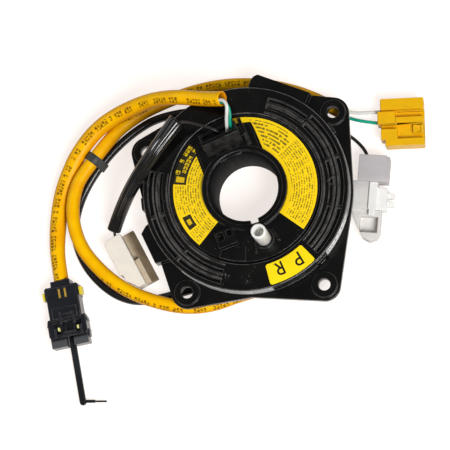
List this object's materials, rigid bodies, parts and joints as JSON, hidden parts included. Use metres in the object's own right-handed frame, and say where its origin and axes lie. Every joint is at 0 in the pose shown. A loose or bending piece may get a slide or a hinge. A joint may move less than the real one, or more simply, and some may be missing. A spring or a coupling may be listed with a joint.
{
  "type": "steering clock spring",
  "caption": "Steering clock spring: flanged case and turning disc with a central bore, a ribbon cable between them, and sleeved leads that end in plug connectors.",
  "frame": {"origin": "on the steering axis, at the foot of the case", "axes": "+Z along the steering axis, from the case towards the driver; +Y towards the wire tower's side of the case, +X to the driver's right as the unit is shown"},
  "size_m": [0.1897, 0.1643, 0.045],
  "materials": {
    "case_black": "moulded, satin with fine grain",
    "ring_black": "moulded, worn satin",
    "ribbon_cable": "smooth film",
    "index_yellow": "printed film, satin",
    "tape_white": "paper tape",
    "tape_grey": "paper tape",
    "rotor_black": "moulded, semi-matt",
    "cover_gloss_black": "polished black",
    "pin_white": "smooth white",
    "lower_rotor_black": "moulded, satin",
    "label_yellow": "printed film, satin",
    "sleeve_yellow": "soft vinyl, satin",
    "sleeve_black": "soft vinyl, glossy",
    "wire_white": "smooth insulation",
    "wire_green": "smooth insulation",
    "wire_black": "smooth insulation",
    "tie_black": "cloth tape",
    "plug_black": "moulded, satin",
    "plug_lock": "moulded, satin",
    "contact_metal": "plated",
    "plug_yellow": "moulded, satin",
    "holder_white": "moulded, satin",
    "plug_white": "moulded, satin"
  },
  "bodies": {
    "case": {"lower_case": "case_black", "cover_ring": "ring_black", "outlet_cover": "case_black", "flat_cable": "ribbon_cable", "index_label": "index_yellow", "seal_tape_right": "tape_white", "seal_tape_left": "tape_grey", "yellow_sleeve_upper": "sleeve_yellow", "yellow_sleeve_lower": "sleeve_yellow", "black_sleeve_upper": "sleeve_black", "black_sleeve_lower": "sleeve_black", "white_lead_upper": "wire_white", "green_lead_upper": "wire_green", "black_lead_upper": "wire_black", "black_lead_tail": "wire_black", "white_lead_lower": "wire_white", "green_lead_lower": "wire_green", "black_lead_lower": "wire_black", "cord_tie": "tie_black", "squib_connector": "plug_black", "squib_cover": "plug_black", "squib_locks": "plug_lock", "squib_contacts": "contact_metal", "squib_strap": "plug_black", "yellow_connector": "plug_yellow", "yellow_connector_lock": "plug_yellow", "right_plug_holder": "holder_white", "right_plug": "plug_white", "left_plug": "plug_white", "left_plug_holder": "holder_white"},
    "rotor": {"rotor": "rotor_black", "tower_cover": "cover_gloss_black", "locating_pin": "pin_white", "lower_rotor": "lower_rotor_black", "label_right": "label_yellow", "label_left": "label_yellow"}
  },
  "joints": [
    {"name": "rotor_turn", "type": "hinge", "parent": "case", "child": "rotor", "pos_m": [0, 0, 0], "axis": [0, 0, 1], "range_deg": [-990, 990], "deforming": ["white_lead_upper", "green_lead_upper", "black_lead_upper"]}
  ]
}
